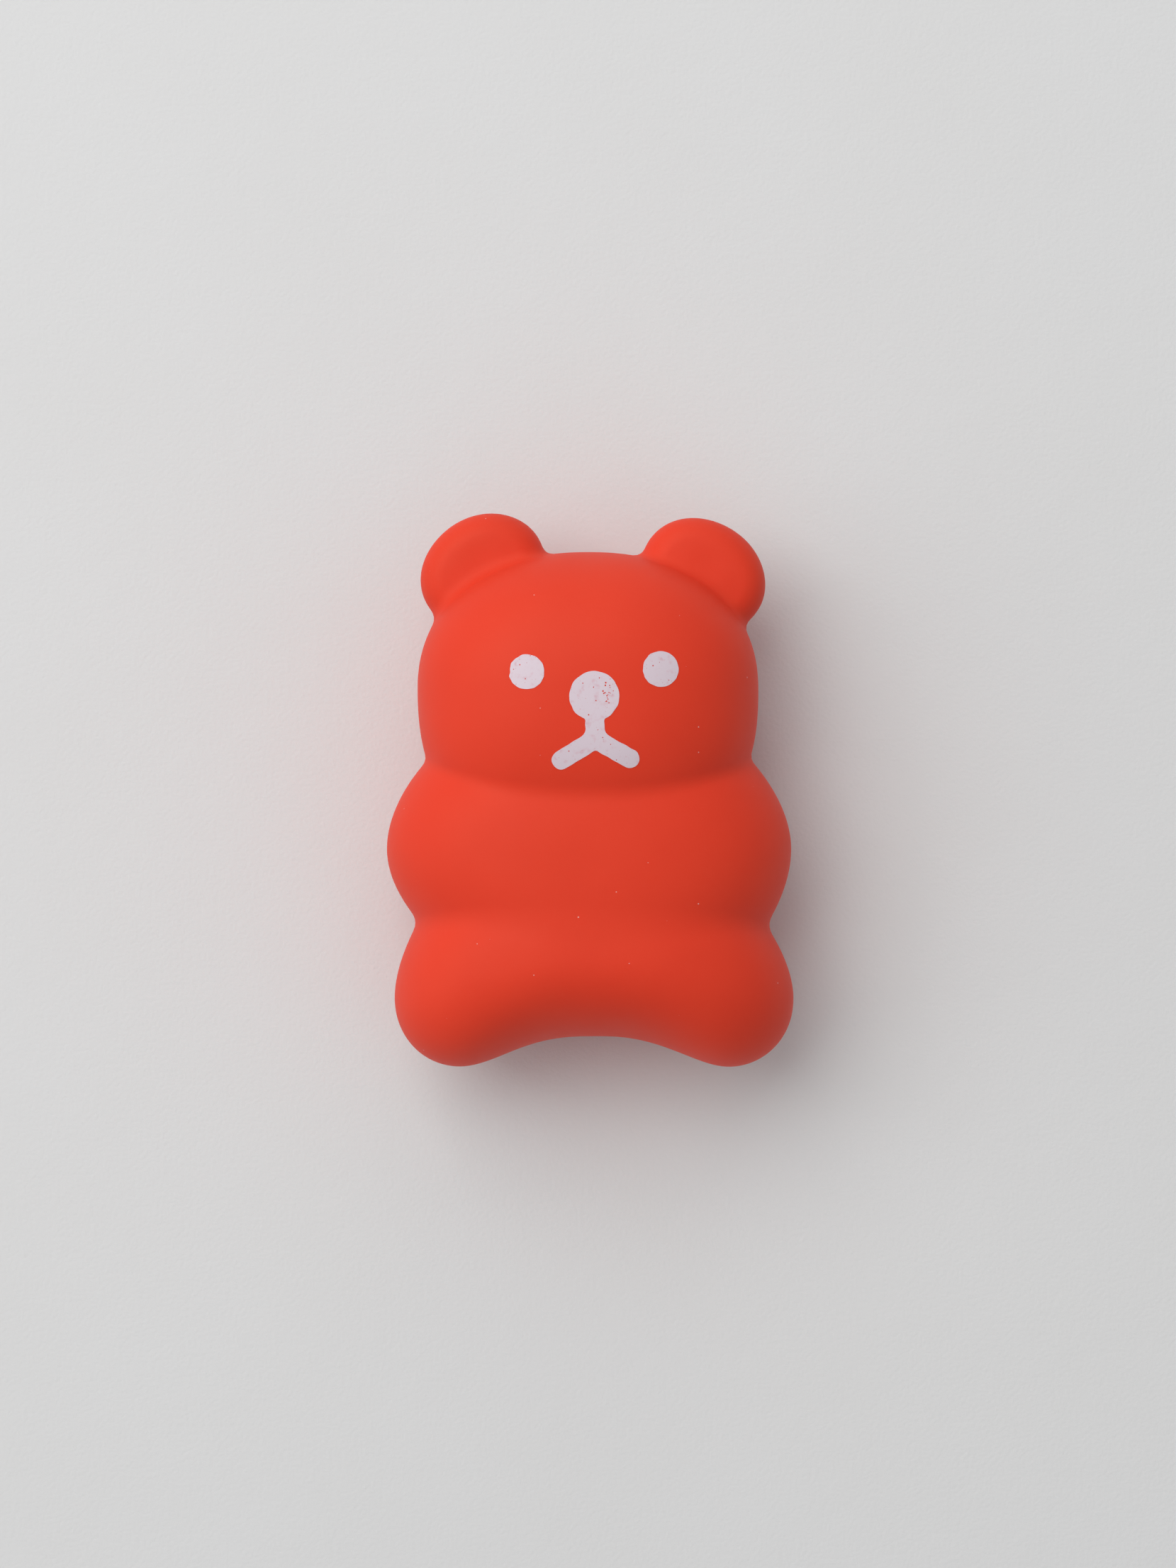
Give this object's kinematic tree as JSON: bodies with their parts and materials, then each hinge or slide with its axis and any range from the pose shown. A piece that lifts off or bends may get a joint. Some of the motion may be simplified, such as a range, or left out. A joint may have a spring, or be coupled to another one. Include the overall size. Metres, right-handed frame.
{
  "type": "squeaky squeeze toy bear",
  "caption": "Soft hollow bear figurine with round ears and a printed face, lying on its back; the front presses in and a reed in its back squeaks.",
  "frame": {"origin": "centre of the outline, on the table under the back", "axes": "+X towards the bear's left side, +Y towards the top of its head, +Z out of its face; it lies on its back"},
  "size_m": [0.0733, 0.1, 0.0452],
  "materials": {
    "skin": "satin soft vinyl",
    "print": "pad-printed ink",
    "squeaker": "natural moulded polyethylene",
    "reed": "rolled strip"
  },
  "bodies": {
    "body": {"body_skin": "skin", "squeaker_tube": "squeaker", "tone_block": "squeaker", "reed_wedge": "squeaker", "vent_cap": "squeaker"},
    "face": {"left_eye": "print", "right_eye": "print", "nose_and_mouth": "print"},
    "reed_tongue": {"reed": "reed"}
  },
  "joints": [
    {"name": "front_press", "type": "slide", "parent": "body", "child": "face", "axis": [0, 0, -1], "range_m": [0, 0.012], "stiffness_N_per_m": 400, "deforming": ["body_skin"]},
    {"name": "reed_flex", "type": "hinge", "parent": "body", "child": "reed_tongue", "pos_m": [-0.0003, -0.01123, 0.0049], "axis": [1, 0, 0], "range_deg": [-3, 3], "stiffness_Nm_per_rad": 0.002}
  ]
}
